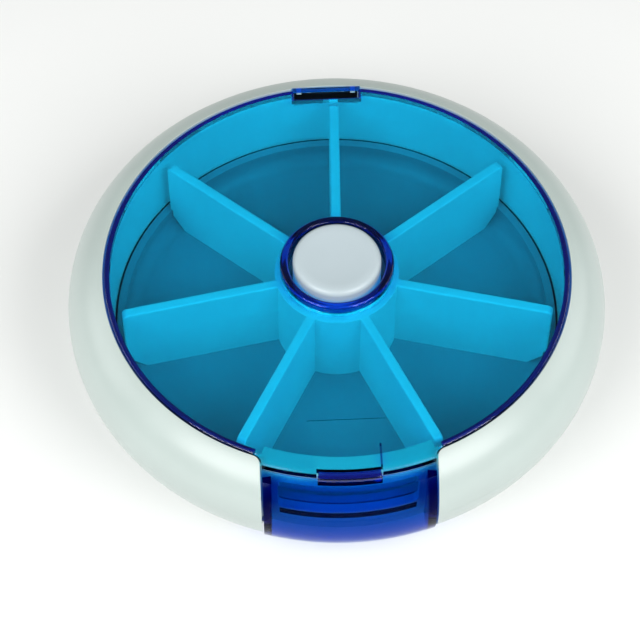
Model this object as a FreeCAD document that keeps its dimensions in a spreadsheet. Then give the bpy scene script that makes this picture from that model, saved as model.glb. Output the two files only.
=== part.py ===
import FreeCAD, Part
import math
import os
import re
import Sketcher

# Round push-button carousel organiser.
# Origin at the centre of the foot plane, +Z up, the hatch faces -Y. All sizes in millimetres and degrees.

sizes = {
    # case shells
    "case_radius": "48.0",
    "seam_height": "16.5",
    "rim_height": "26.0",
    "case_wall": "1.8",
    "crown_width": "6.7",
    "ledge_width": "1.3",
    "chamber_radius": "=case_radius - crown_width - ledge_width",
    "chamber_wall": "1.6",
    "chamber_gap": "0.1",
    "shelf_width": "2.5",
    "shelf_depth": "3.2",
    "landing_width": "1.6",
    "landing_wall": "0.35",
    "lap_height": "2.0",
    "lap_wall": "0.9",
    "lap_gap": "0.1",
    "ring_wall": "1.5",
    "tuck_radius": "12.6",
    "tuck_angle": "50.0",
    "foot_inset": "12.5",
    "foot_radius": "=case_radius - foot_inset",
    "foot_width": "2.4",
    "foot_height": "0.8",
    "base_thickness": "1.8",
    "bay_angle": "47.0",
    "bay_round": "1.6",
    # lid
    "lid_gap": "0.3",
    "lid_radius": "=case_radius - crown_width - lid_gap",
    "lid_thickness": "1.6",
    "lid_seat_gap": "0.15",
    "lid_edge_round": "0.5",
    "lip_width": "1.5",
    "lip_reach": "=lid_radius + lip_width",
    "lip_round": "1.9",
    "collar_radius": "10.05",
    "collar_bore": "8.6",
    "collar_height": "1.4",
    "collar_round": "0.4",
    "slot_width": "12.0",
    "slot_depth": "1.7",
    "bar_radius": "0.45",
    "bar_drop": "0.2",
    "claw_gap": "0.08",
    "claw_wall": "0.45",
    "claw_width": "1.8",
    "claw_spread": "4.5",
    "claw_root": "1.0",
    "claw_lip": "0.35",
    "relief_gap": "0.15",
    "relief_side": "0.4",
    "slit_width": "0.3",
    "slit_length": "4.9",
    "panel_width": "13.4",
    "panel_reach": "31.2",
    "panel_depth": "0.15",
    # front hatch
    "hatch_width": "29.2",
    "hatch_gap": "0.3",
    "hatch_wall": "1.6",
    "hatch_top_gap": "0.4",
    "hatch_bottom": "8.0",
    "hatch_tuck": "15.7",
    "cheek_wall": "1.5",
    "ear_radius": "1.0",
    "pivot_inset": "7.2",
    "pivot_reach": "=case_radius - pivot_inset",
    "pivot_height": "9.0",
    "pin_radius": "0.6",
    "pin_gap": "0.08",
    "pin_reach": "1.0",
    "tongue_width": "10.6",
    "tongue_wall": "1.5",
    "tongue_gap": "0.25",
    "tongue_drop": "0.3",
    "tongue_bite": "0.9",
    "tongue_root": "0.8",
    "shelf_clearance": "0.3",
    "outlet_width": "24.0",
    "outlet_height": "8.2",
    "outlet_sill": "11.6",
    # wheel
    "wheel_rest_angle": "-2.1",
    "wheel_gap": "0.4",
    "wheel_lift": "5.9",
    "tray_wall": "1.4",
    "tray_rim": "5.5",
    "tray_cove": "4.1",
    "divider_count": "7",
    "divider_wall": "1.75",
    "divider_gap": "0.2",
    "divider_inset": "1.0",
    "divider_round": "1.0",
    "divider_headroom": "0.7",
    "hub_radius": "11.0",
    "hub_wall": "1.4",
    "spigot_wall": "0.7",
    "spigot_gap": "0.1",
    "peg_radius": "0.7",
    "peg_reach": "26.0",
    "peg_gap": "0.1",
    "rail_radius": "20.0",
    "rail_wall": "1.6",
    "rail_gap": "0.3",
    "bearing_gap": "0.1",
    "bearing_wall": "1.2",
    "bearing_overlap": "0.9",
    # push button and drive
    "stroke_length": "4.0",
    "button_radius": "7.8",
    "button_rise": "2.5",
    "button_wall": "1.2",
    "button_skirt": "5.7",
    "button_dish": "0.45",
    "button_round": "1.1",
    "button_fit": "0.05",
    "plunger_bore": "4.2",
    "plunger_wall": "1.2",
    "plunger_top": "1.0",
    "plunger_drop": "10.5",
    "guide_side": "2.2",
    "guide_gap": "0.15",
    "guide_drop": "10.3",
    "lug_radius": "0.8",
    "lug_reach": "6.75",
    "lug_rise": "1.5",
    "lug_height": "=rim_height - plunger_top - plunger_drop + lug_rise",
    "lug_gap": "0.25",
    "rotor_gap": "0.2",
    "rotor_wall": "1.4",
    "rotor_margin": "0.9",
    "rotor_floor": "1.2",
    "rotor_float": "0.15",
    "journal_gap": "0.08",
    "pawl_wall": "0.6",
    "pawl_height": "2.2",
    "pawl_lift": "2.45",
    "pawl_reach": "8.6",
    "pawl_sweep": "70.0",
    "pawl_root_sweep": "55.0",
    "pawl_outer_bend": "8.3",
    "pawl_inner_bend": "7.7",
    "pawl_back_off": "2.0",
    "pawl_step_count": "3",
    "pawl_fit": "0.05",
    "ratchet_fit": "0.05",
    "ratchet_tip": "8.55",
    "ratchet_depth": "0.55",
    "ratchet_ramp": "24.0",
    "ratchet_height": "3.0",
    "ratchet_bottom": "9.2",
    "post_radius": "2.4",
    "post_step": "0.5",
    "post_collar": "4.4",
    "post_collar_top": "7.0",
    "post_gap": "0.7",
    "post_top": "=rim_height - plunger_top - stroke_length - post_gap",
    "post_base_side": "9.0",
    "post_base_height": "1.2",
    "post_base_sink": "0.8",
    "post_base_gap": "0.05",
    "socket_gap": "0.2",
    "socket_depth": "=guide_drop + socket_gap - post_gap",
    "boss_top": "5.0",
    "seat_radius": "4.0",
    "seat_thickness": "0.8",
    "seat_gap": "0.05",
    "spring_radius": "3.3",
    "spring_wire": "0.7",
    "spring_turns": "8.0",
    "spring_end_gap": "0.05",
    "screw_radius": "1.0",
    "screw_head_radius": "2.0",
    "screw_head_height": "1.2",
    "screw_length": "6.0",
    "screw_gap": "0.15",
    "screw_pilot_gap": "0.05",
    # click index under the tray
    "index_azimuth": "20.0",
    "index_inset": "6.5",
    "index_reach": "=foot_radius - index_inset",
    "index_width": "4.4",
    "index_leaf": "0.4",
    "index_foot": "5.0",
    "index_span": "7.0",
    "index_nose": "1.2",
    "index_depth": "0.5",
    "index_gap": "0.2",
    "index_boss_radius": "2.4",
    "index_boss_top": "3.5",
    "index_screw_length": "2.2",
    "index_head_height": "0.9",
    "index_nose_rise": "1.0",
    "index_screw_gap": "0.15",
}

doc = FreeCAD.newDocument("carousel_organiser")
sheet = doc.addObject("Spreadsheet::Sheet", "Sizes")
for row, (alias, number) in enumerate(sizes.items(), start=1):
    sheet.set("A%d" % row, alias.replace("_", " "))
    sheet.set("B%d" % row, number)
    sheet.setAlias("B%d" % row, alias)
doc.recompute()

# Sizes that several pieces share, worked out from the sheet.
rim_radius = "(lid_radius + lid_gap)"
lid_under = "(rim_height - lid_thickness)"
lid_seat = "(rim_height - lid_thickness - lid_seat_gap)"
chamber_outer = "(chamber_radius + chamber_wall)"
shelf_outer = "(chamber_radius + shelf_width)"
crown_rise = "(rim_height - seam_height)"
crown_run = "(case_radius - lid_radius - lid_gap)"
crown_radius = "((%s^2 + %s^2) / (2 * %s))" % (crown_run, crown_rise, crown_run)
crown_centre = "(case_radius - %s)" % crown_radius
tuck_centre = "(case_radius - tuck_radius)"
tuck_end = "(%s + tuck_radius * cos(tuck_angle * 1deg))" % tuck_centre
tuck_end_height = "(seam_height - tuck_radius * sin(tuck_angle * 1deg))"
slope = "tan(tuck_angle * 1deg)"
slope_inset = "(case_wall / cos(tuck_angle * 1deg))"
base_top = "(foot_height + base_thickness)"
well_radius = "(%s + chamber_gap)" % chamber_outer
bay_half = "(hatch_width / 2 + hatch_gap)"
hinge_reach = "(lid_radius - bar_radius)"
hinge_height = "(rim_height - bar_drop)"
tray_radius = "(chamber_radius - wheel_gap)"
floor_height = "(wheel_lift + tray_wall)"
tray_rim_top = "(wheel_lift + tray_rim)"
star_top = "(rim_height - lid_thickness - divider_headroom)"
hub_bore = "(hub_radius - hub_wall)"
spigot_radius = "(hub_radius - spigot_wall)"
bearing_radius = "(%s - bearing_gap)" % hub_bore
button_top = "(rim_height + button_rise)"
plunger_radius = "(plunger_bore + plunger_wall)"
plunger_head = "(%s - button_rise)" % button_top
rotor_bore = "(%s + rotor_gap)" % plunger_radius
rotor_radius = "(%s + rotor_wall)" % rotor_bore
rotor_bottom = "(post_collar_top + rotor_float)"
journal_radius = "(post_radius + post_step)"
journal_top = "(%s + rotor_floor + rotor_float)" % rotor_bottom
step_angle = "(360 / divider_count)"
beyond = "(case_radius + case_wall)"
well_knee = "(%s + (%s - %s + %s) / %s)" % (tuck_end_height, well_radius, tuck_end, slope_inset, slope)
chamber_bottom = "(%s + chamber_gap)" % well_knee
hatch_top = "(%s - hatch_top_gap)" % lid_under
notch_radius = "(lip_reach - tongue_bite)"
head_under = "(%s - plunger_top)" % plunger_head
post_bottom = "(boss_top - post_base_sink)"
seat_top = "(%s + seat_thickness)" % journal_top
counterbore_top = "(foot_height + screw_head_height)"
index_foot_middle = "(index_span + index_foot / 2)"


def bound(text):
    return re.sub(r"[a-z]+(?:_[a-z]+)+", lambda word: "Sizes." + word.group(), text)


def value(text):
    return float(sheet.evalExpression(bound(text)))


def new_body(label):
    body = doc.addObject("PartDesign::Body", label)
    body.Label = label
    return body


def new_sketch(body, role, height="0"):
    sketch = body.newObject("Sketcher::SketchObject", body.Name + "_sketch")
    plane = next(item for item in body.Origin.OriginFeatures if item.Role == role)
    sketch.AttachmentSupport = [(plane, "")]
    sketch.MapMode = "FlatFace"
    sketch.setExpression("AttachmentOffset.Base.z", bound(height))
    return sketch


def dimension(sketch, kind, name, text, *place):
    index = sketch.addConstraint(Sketcher.Constraint(kind, *place, value(text)))
    sketch.renameConstraint(index, name)
    sketch.setExpression("Constraints." + name, bound(text))


def arc_between(start, end, radius, turn):
    chord = end - start
    rise = math.sqrt(max(radius ** 2 - (chord.Length / 2) ** 2, 0.0))
    left = FreeCAD.Vector(-chord.y, chord.x, 0).normalize()
    centre = (start + end) / 2 + left * rise * turn
    first, last = (start, end) if turn > 0 else (end, start)
    circle = Part.Circle(centre, FreeCAD.Vector(0, 0, 1), radius)
    return Part.ArcOfCircle(circle, circle.parameter(first), circle.parameter(last))


def add_outline(sketch, corners, tag=""):
    # Each corner is (x, y), or (x, y, radius, turn) where an arc leaves it.
    # Turn 1 is anticlockwise, -1 clockwise.
    first = sketch.GeometryCount
    points = [FreeCAD.Vector(value(corner[0]), value(corner[1]), 0) for corner in corners]
    ends = []
    for index, corner in enumerate(corners):
        start = points[index]
        end = points[(index + 1) % len(points)]
        if len(corner) == 4:
            sketch.addGeometry(arc_between(start, end, value(corner[2]), corner[3]))
            ends.append((1, 2) if corner[3] > 0 else (2, 1))
        else:
            sketch.addGeometry(Part.LineSegment(start, end))
            ends.append((1, 2))
    for index, corner in enumerate(corners):
        edge = first + index
        after = (index + 1) % len(corners)
        meeting = Sketcher.Constraint("Coincident", edge, ends[index][1], first + after, ends[after][0])
        sketch.addConstraint(meeting)
        dimension(sketch, "DistanceX", "%sx%d" % (tag, index), corner[0], -1, 1, edge, ends[index][0])
        dimension(sketch, "DistanceY", "%sy%d" % (tag, index), corner[1], -1, 1, edge, ends[index][0])
        if len(corner) == 4:
            dimension(sketch, "Radius", "%sarc%d" % (tag, index), corner[2], edge)


def outline(body, role, corners, height="0"):
    sketch = new_sketch(body, role, height)
    add_outline(sketch, corners)
    return sketch


def circles(body, role, rounds, height="0"):
    sketch = new_sketch(body, role, height)
    for index, (across, up, radius) in enumerate(rounds):
        centre = FreeCAD.Vector(value(across), value(up), 0)
        sketch.addGeometry(Part.Circle(centre, FreeCAD.Vector(0, 0, 1), value(radius)))
        dimension(sketch, "DistanceX", "x%d" % index, across, -1, 1, index, 3)
        dimension(sketch, "DistanceY", "y%d" % index, up, -1, 1, index, 3)
        dimension(sketch, "Radius", "r%d" % index, radius, index)
    return sketch


def box_corners(left, right, low, high):
    return [(left, low), (right, low), (right, high), (left, high)]


def feature(body, kind, sketch):
    made = body.newObject("PartDesign::" + kind, "%s_%s" % (body.Name, kind.lower()))
    made.Profile = sketch
    sketch.Visibility = False
    return made


def turned(body, kind, sketch, angle="360"):
    made = feature(body, kind, sketch)
    made.ReferenceAxis = (sketch, ["V_Axis"])
    made.Midplane = True
    made.setExpression("Angle", bound(angle))
    doc.recompute()
    return made


def extruded(body, kind, sketch, length, reverse=False, both=False):
    made = feature(body, kind, sketch)
    made.Reversed = reverse
    made.Midplane = both
    made.setExpression("Length", bound(length))
    doc.recompute()
    return made


def patterned(body, originals, count, axis="Z_Axis"):
    made = body.newObject("PartDesign::PolarPattern", body.Name + "_pattern")
    line = next(item for item in body.Origin.OriginFeatures if item.Role == axis)
    made.Originals = originals
    made.Axis = (line, [""])
    made.Angle = 360
    made.setExpression("Occurrences", bound(count))
    body.Tip = made
    doc.recompute()
    return made


def turn_about_axis(body, angle):
    body.Placement = FreeCAD.Placement(FreeCAD.Vector(), FreeCAD.Rotation(FreeCAD.Vector(0, 0, 1), 1))
    body.setExpression("Placement.Rotation.Angle", bound(angle))


def crown_arc(inset, height):
    # Radius from the axis of the crown surface, moved in by inset, at a height above the foot plane.
    return "(%s + sqrt((%s - %s)^2 - (%s - seam_height)^2))" % (crown_centre, crown_radius, inset, height)


def tuck_arc(radius, inset, height):
    return "(case_radius - %s + sqrt((%s - %s)^2 - (seam_height - %s)^2))" % (radius, radius, inset, height)


def crown_height(inset, radius):
    return "(seam_height + sqrt((%s - %s)^2 - (%s - %s)^2))" % (crown_radius, inset, radius, crown_centre)


def polar(radius, angle):
    return ("(%s) * cos((%s) * 1deg)" % (radius, angle), "(%s) * sin((%s) * 1deg)" % (radius, angle))


def turned_point(reach, aside, angle):
    # A point reach out along the azimuth and aside to the left of it.
    across = "(%s) * cos((%s) * 1deg) - (%s) * sin((%s) * 1deg)" % (reach, angle, aside, angle)
    along = "(%s) * sin((%s) * 1deg) + (%s) * cos((%s) * 1deg)" % (reach, angle, aside, angle)
    return across, along


def front_cut(half, radius):
    # Plan outline of everything in front of an arc about the axis, between two upright planes.
    side = "-sqrt((%s)^2 - (%s)^2)" % (radius, half)
    return [
        ("-" + half, side, radius, 1),
        (half, side),
        (half, "-" + beyond),
        ("-" + half, "-" + beyond),
    ]


def flared(half, radius, corner, front):
    # Plan outline that leaves a disc of the radius in rounded corners and runs forward.
    centre = "sqrt((%s + %s)^2 - (%s + %s)^2)" % (radius, corner, half, corner)
    share = "%s / (%s + %s)" % (radius, radius, corner)
    edge = "((%s + %s) * %s)" % (half, corner, share)
    edge_back = "-%s * %s" % (centre, share)
    return [
        ("-" + edge, "-hub_radius"),
        ("-" + edge, edge_back, corner, -1),
        ("-" + half, "-" + centre),
        *front,
        (half, "-" + centre, corner, -1),
        (edge, edge_back),
        (edge, "-hub_radius"),
    ]


def upper_case():
    body = new_body("upper_case")
    ring = outline(body, "YZ_Plane", [
        (rim_radius, "rim_height", crown_radius, -1),
        ("case_radius", "seam_height"),
        (chamber_outer, "seam_height"),
        (chamber_outer, chamber_bottom),
        ("chamber_radius", chamber_bottom),
        ("chamber_radius", lid_seat),
        (rim_radius, lid_seat),
    ])
    turned(body, "Revolution", ring)
    lap_top = "(seam_height + lap_height)"
    shelf_bottom = "(%s - shelf_depth)" % lid_seat
    cavity = outline(body, "YZ_Plane", [
        (chamber_outer, "seam_height - case_wall"),
        ("case_radius - lap_wall", "seam_height - case_wall"),
        ("case_radius - lap_wall", lap_top),
        (crown_arc("case_wall", lap_top), lap_top, "%s - case_wall" % crown_radius, 1),
        (shelf_outer, crown_height("case_wall", shelf_outer)),
        (shelf_outer, shelf_bottom),
        (chamber_outer, shelf_bottom),
    ])
    turned(body, "Groove", cavity, "360 - bay_angle")
    bay = outline(body, "XY_Plane", front_cut(bay_half, shelf_outer))
    extruded(body, "Pocket", bay, "2 * (rim_height + case_wall)", both=True)
    lip_room = outline(body, "XY_Plane", flared(bay_half, rim_radius, "bay_round", [
        ("-" + bay_half, "-" + beyond),
        (bay_half, "-" + beyond),
    ]), lid_seat)
    extruded(body, "Pocket", lip_room, "lid_thickness + case_wall", reverse=True)
    landing = outline(body, "YZ_Plane", box_corners(
        "-(chamber_radius + ledge_width / 2)", "landing_width - chamber_radius",
        "%s - landing_wall" % lid_seat, lid_seat))
    turned(body, "Revolution", landing, "2 * asin(hatch_width / 2 / chamber_radius) / 1deg")
    outlet = outline(body, "XZ_Plane", box_corners(
        "-outlet_width / 2", "outlet_width / 2", "outlet_sill", "outlet_sill + outlet_height"))
    extruded(body, "Pocket", outlet, "case_radius", reverse=True)
    bar_half = "(slot_width / 2 + relief_side)"
    relief = outline(body, "XY_Plane", box_corners(
        "-" + bar_half, bar_half, "chamber_radius - slot_depth", "lid_radius + relief_gap"), lid_seat)
    extruded(body, "Pocket", relief, "lid_thickness + case_wall", reverse=True)
    window_half = "(claw_spread - claw_width / 2)"
    window = outline(body, "XY_Plane", box_corners(
        "-" + window_half, window_half, "chamber_radius - slot_depth", "lid_radius + relief_gap"), lid_seat)
    extruded(body, "Pocket", window, "shelf_depth - claw_root")
    claw_inner = "(%s - bar_radius - claw_gap - claw_wall)" % hinge_reach
    for side in ("-claw_spread", "claw_spread"):
        claw = outline(body, "YZ_Plane", box_corners(
            claw_inner, "lid_radius + relief_gap",
            "%s - claw_root" % lid_seat, "%s + claw_lip" % hinge_height), "%s - claw_width / 2" % side)
        extruded(body, "Pad", claw, "claw_width")
    socket = circles(body, "YZ_Plane", [(hinge_reach, hinge_height, "bar_radius + claw_gap")])
    extruded(body, "Pocket", socket, "2 * %s" % bar_half, both=True)
    return body


def lower_case():
    body = new_body("lower_case")
    foot_inner = "(foot_radius - foot_width)"
    slope_foot = "(%s - (%s - foot_height) * %s)" % (tuck_end, tuck_end_height, slope)
    floor_edge = "(%s - %s - (%s - %s) * %s)" % (tuck_end, slope_inset, tuck_end_height, base_top, slope)
    bowl = outline(body, "YZ_Plane", [
        ("0", "foot_height"),
        (foot_inner, "foot_height"),
        (foot_inner, "0"),
        ("foot_radius", "0"),
        ("foot_radius", "foot_height"),
        (slope_foot, "foot_height"),
        (tuck_end, tuck_end_height, "tuck_radius", 1),
        ("case_radius", "seam_height"),
        (well_radius, "seam_height"),
        (well_radius, well_knee),
        (floor_edge, base_top),
        ("0", base_top),
    ])
    turned(body, "Revolution", bowl)
    ring_outer = "(%s + ring_wall)" % well_radius
    inner_tuck = "(tuck_radius - case_wall)"
    cavity_low = "seam_height - sqrt(%s^2 - (%s - %s)^2)" % (inner_tuck, ring_outer, tuck_centre)
    cavity = outline(body, "YZ_Plane", [
        (ring_outer, cavity_low, inner_tuck, 1),
        ("case_radius - case_wall", "seam_height"),
        ("case_radius - case_wall", "seam_height + case_wall"),
        (ring_outer, "seam_height + case_wall"),
    ])
    turned(body, "Groove", cavity, "360 - bay_angle")
    lap = outline(body, "YZ_Plane", box_corners(
        "case_radius - case_wall", "case_radius - lap_wall - lap_gap",
        "seam_height - case_wall", "seam_height + lap_height - lap_gap"))
    turned(body, "Revolution", lap, "359 - bay_angle")
    bay = outline(body, "XY_Plane", front_cut(bay_half, well_radius))
    extruded(body, "Pocket", bay, "2 * rim_height", both=True)
    pivots = circles(body, "YZ_Plane", [("-pivot_reach", "pivot_height", "pin_radius + pin_gap")])
    extruded(body, "Pocket", pivots, "2 * (%s + pin_reach + pin_gap)" % bay_half, both=True)
    bearing_inner = "(%s - bearing_wall)" % bearing_radius
    bearing_top = "(wheel_lift + bearing_overlap)"
    bearing = outline(body, "YZ_Plane", [
        ("0", "foot_height"),
        (bearing_radius, "foot_height"),
        (bearing_radius, bearing_top),
        (bearing_inner, bearing_top),
        (bearing_inner, "boss_top"),
        ("0", "boss_top"),
    ])
    turned(body, "Revolution", bearing)
    rail_rounds = [("0", "0", "rail_radius"), ("0", "0", "rail_radius - rail_wall")]
    rail = circles(body, "XY_Plane", rail_rounds, "foot_height")
    extruded(body, "Pad", rail, "wheel_lift - rail_gap - foot_height")
    foot_across, foot_along = turned_point("index_reach", index_foot_middle, "index_azimuth")
    boss = circles(body, "XY_Plane", [(foot_across, foot_along, "index_boss_radius")], "foot_height")
    extruded(body, "Pad", boss, "index_boss_top - foot_height")
    pilot_rounds = [(foot_across, foot_along, "screw_radius + screw_pilot_gap")]
    pilot = circles(body, "XY_Plane", pilot_rounds, "index_boss_top")
    extruded(body, "Pocket", pilot, "index_screw_length")
    head_room = circles(body, "XY_Plane", [("0", "0", "screw_head_radius + screw_gap")])
    extruded(body, "Pocket", head_room, counterbore_top, reverse=True)
    screw_hole = circles(body, "XY_Plane", [("0", "0", "screw_radius + screw_gap")])
    extruded(body, "Pocket", screw_hole, "boss_top", reverse=True)
    half = "(post_base_side / 2 + post_base_gap)"
    recess = outline(body, "XY_Plane", box_corners("-" + half, half, "-" + half, half), "boss_top")
    extruded(body, "Pocket", recess, "post_base_sink")
    return body


def lid():
    body = new_body("lid")
    collar_top = "(rim_height + collar_height)"
    disc = outline(body, "YZ_Plane", [
        ("collar_bore", lid_under),
        ("lid_radius", lid_under),
        ("lid_radius", "rim_height - lid_edge_round", "lid_edge_round", 1),
        ("lid_radius - lid_edge_round", "rim_height"),
        ("collar_radius", "rim_height"),
        ("collar_radius", "%s - collar_round" % collar_top, "collar_round", 1),
        ("collar_radius - collar_round", collar_top),
        ("collar_bore", collar_top),
    ])
    turned(body, "Revolution", disc)
    lip_half = "(hatch_width / 2)"
    lip_side = "-sqrt(lip_reach^2 - %s^2)" % lip_half
    lip = outline(body, "XY_Plane", flared(lip_half, "lid_radius", "lip_round", [
        ("-" + lip_half, lip_side, "lip_reach", 1),
        (lip_half, lip_side),
    ]), lid_under)
    extruded(body, "Pad", lip, "lid_thickness")
    notch_half = "(tongue_width / 2 + tongue_gap)"
    notch = outline(body, "XY_Plane", front_cut(notch_half, notch_radius), lid_under)
    extruded(body, "Pocket", notch, "2 * lid_thickness + case_wall", both=True)
    for side in ("-", ""):
        slit = outline(body, "XY_Plane", box_corners(
            "%s%s" % (side, notch_half), "%s(%s - slit_width)" % (side, notch_half),
            "-%s" % notch_radius, "slit_length - %s" % notch_radius), lid_under)
        extruded(body, "Pocket", slit, "2 * lid_thickness + case_wall", both=True)
    panel = outline(body, "XY_Plane", [
        ("-panel_width / 2", "-panel_reach"),
        ("slit_width / 2 - %s" % notch_half, "-lip_reach"),
        ("%s - slit_width / 2" % notch_half, "-lip_reach"),
        ("panel_width / 2", "-panel_reach"),
    ], lid_under)
    extruded(body, "Pocket", panel, "panel_depth", reverse=True)
    slot_inner = "(%s - bar_radius - slot_depth)" % hinge_reach
    slot = outline(body, "XY_Plane", box_corners(
        "-slot_width / 2", "slot_width / 2", slot_inner, beyond), lid_under)
    extruded(body, "Pocket", slot, "2 * lid_thickness + case_wall", both=True)
    bar = circles(body, "YZ_Plane", [(hinge_reach, hinge_height, "bar_radius")])
    extruded(body, "Pad", bar, "slot_width + bar_radius", both=True)
    return body


def front_hatch():
    body = new_body("front_hatch")
    clear_top = "(%s + hatch_top_gap)" % hatch_top
    hatch_back = "(%s + hatch_gap)" % shelf_outer
    ear_bottom = "(pivot_height - ear_radius)"
    clear_bottom = "(%s - case_wall)" % ear_bottom
    for side in ("-hatch_width / 2", "hatch_width / 2 - cheek_wall"):
        cheek = outline(body, "YZ_Plane", [
            ("-" + beyond, ear_bottom),
            ("-pivot_reach", ear_bottom, "ear_radius", 1),
            ("ear_radius - pivot_reach", "pivot_height", "ear_radius", 1),
            ("-pivot_reach", "pivot_height + ear_radius"),
            ("-pivot_reach", hatch_top),
            ("-" + beyond, hatch_top),
        ], side)
        extruded(body, "Pad", cheek, "cheek_wall")
    outside = outline(body, "YZ_Plane", [
        ("-" + crown_arc("0", clear_top), clear_top, crown_radius, 1),
        ("-case_radius", "seam_height", "hatch_tuck", 1),
        ("-" + tuck_arc("hatch_tuck", "0", clear_bottom), clear_bottom),
        ("-2 * " + beyond, clear_bottom),
        ("-2 * " + beyond, clear_top),
    ])
    turned(body, "Groove", outside, "180")
    inner_bottom = "-" + tuck_arc("hatch_tuck", "hatch_wall", "hatch_bottom")
    shell = outline(body, "YZ_Plane", [
        ("-" + crown_arc("0", hatch_top), hatch_top, crown_radius, 1),
        ("-case_radius", "seam_height", "hatch_tuck", 1),
        ("-" + tuck_arc("hatch_tuck", "0", "hatch_bottom"), "hatch_bottom"),
        (inner_bottom, "hatch_bottom", "hatch_tuck - hatch_wall", -1),
        ("hatch_wall - case_radius", "seam_height", "%s - hatch_wall" % crown_radius, -1),
        ("-" + hatch_back, crown_height("hatch_wall", hatch_back)),
        ("-" + hatch_back, hatch_top),
    ])
    turned(body, "Revolution", shell, "2 * bay_angle")
    for near, far in (("hatch_width / 2", beyond), ("-hatch_width / 2", "-" + beyond)):
        trim = outline(body, "XY_Plane", box_corners(near, far, "-" + beyond, "0"))
        extruded(body, "Pocket", trim, "2 * rim_height", both=True)
    tongue_inner = "(%s + tongue_gap)" % notch_radius  # face behind the lid's notch
    tongue_low = "(%s + shelf_clearance)" % lid_seat
    tongue_top = "(rim_height - tongue_drop)"
    root_height = "(%s - tongue_root)" % hatch_top
    root_front = "-(%s + tongue_root)" % hatch_back
    tongue = outline(body, "YZ_Plane", [
        (root_front, root_height),
        ("-" + hatch_back, root_height),
        ("-" + hatch_back, tongue_low),
        ("-" + tongue_inner, tongue_low),
        ("-" + tongue_inner, tongue_top),
        ("-(%s + tongue_wall)" % tongue_inner, tongue_top),
        (root_front, hatch_top),
    ])
    turned(body, "Revolution", tongue, "2 * asin(tongue_width / 2 / lip_reach) / 1deg")
    pin_holes = circles(body, "YZ_Plane", [("-pivot_reach", "pivot_height", "pin_radius")])
    extruded(body, "Pocket", pin_holes, "2 * hatch_width", both=True)
    return body


def hatch_pins():
    body = new_body("hatch_pins")
    length = "(cheek_wall + hatch_gap + pin_reach)"
    for start in ("hatch_width / 2 - cheek_wall", "-(hatch_width / 2 + hatch_gap + pin_reach)"):
        pin = circles(body, "YZ_Plane", [("-pivot_reach", "pivot_height", "pin_radius")], start)
        extruded(body, "Pad", pin, length)
    return body


def wheel_tray():
    body = new_body("wheel_tray")
    tray_bore = "(%s + spigot_gap)" % spigot_radius
    cove_centre = "(%s - tray_cove)" % tray_radius
    cove_top = "(wheel_lift + tray_cove)"
    dish = outline(body, "YZ_Plane", [
        (tray_bore, "wheel_lift"),
        (cove_centre, "wheel_lift", "tray_cove", 1),
        (tray_radius, cove_top),
        (tray_radius, tray_rim_top),
        ("%s - tray_wall" % tray_radius, tray_rim_top),
        ("%s - tray_wall" % tray_radius, cove_top, "tray_cove - tray_wall", -1),
        (cove_centre, floor_height),
        (tray_bore, floor_height),
    ])
    turned(body, "Revolution", dish)
    peg_hole = circles(body, "XY_Plane", [("0", "peg_reach", "peg_radius + peg_gap")], floor_height)
    holes = extruded(body, "Pocket", peg_hole, "2 * tray_wall")
    azimuth = "index_azimuth - wheel_rest_angle"
    inner = "index_reach - index_width / 2 - index_gap"
    outer = "index_reach + index_width / 2 + index_gap"
    aside = "(index_nose + index_gap)"
    notch = outline(body, "XY_Plane", [
        turned_point(inner, "-" + aside, azimuth),
        turned_point(outer, "-" + aside, azimuth),
        turned_point(outer, aside, azimuth),
        turned_point(inner, aside, azimuth),
    ], "wheel_lift")
    notches = extruded(body, "Pocket", notch, "index_depth + index_gap", reverse=True)
    patterned(body, [holes, notches], "divider_count")
    turn_about_axis(body, "wheel_rest_angle")
    return body


def divider_star():
    body = new_body("divider_star")
    hub = outline(body, "YZ_Plane", [
        (hub_bore, "wheel_lift"),
        (spigot_radius, "wheel_lift"),
        (spigot_radius, floor_height),
        ("hub_radius", floor_height),
        ("hub_radius", star_top),
        (hub_bore, star_top),
    ])
    turned(body, "Revolution", hub)
    hub_middle = "hub_radius - hub_wall / 2"
    inner_edge = "(%s - tray_wall - divider_gap)" % tray_radius
    vane_edge = "(%s - divider_inset)" % tray_radius
    over_rim = "(%s + divider_gap)" % tray_rim_top
    vane = outline(body, "YZ_Plane", [
        (hub_middle, floor_height),
        ("%s - tray_cove - divider_gap" % tray_radius, floor_height),
        (inner_edge, "wheel_lift + tray_cove + divider_gap"),
        (inner_edge, over_rim),
        (vane_edge, over_rim),
        (vane_edge, "%s - divider_round" % star_top, "divider_round", 1),
        ("%s - divider_round" % vane_edge, star_top),
        (hub_middle, star_top),
    ])
    blade = extruded(body, "Pad", vane, "divider_wall", both=True)
    peg = circles(body, "XY_Plane", [("0", "peg_reach", "peg_radius")], floor_height)
    stud = extruded(body, "Pad", peg, "tray_wall - peg_gap", reverse=True)
    patterned(body, [blade, stud], "divider_count")
    turn_about_axis(body, "wheel_rest_angle")
    return body


def ratchet_ring():
    body = new_body("ratchet_ring")
    ring = circles(body, "XY_Plane", [("0", "0", "%s - ratchet_fit" % hub_bore), ("0", "0", "ratchet_tip")],
                   "ratchet_bottom")
    extruded(body, "Pad", ring, "ratchet_height")
    inside = "(ratchet_tip - ratchet_fit)"
    gullet = outline(body, "XY_Plane", [
        polar(inside, "pawl_back_off"),
        polar("ratchet_tip + ratchet_depth", "pawl_back_off"),
        polar(inside, "pawl_back_off - ratchet_ramp"),
    ], "ratchet_bottom")
    tooth = extruded(body, "Pocket", gullet, "ratchet_height", reverse=True)
    patterned(body, [tooth], "divider_count")
    return body


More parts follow.
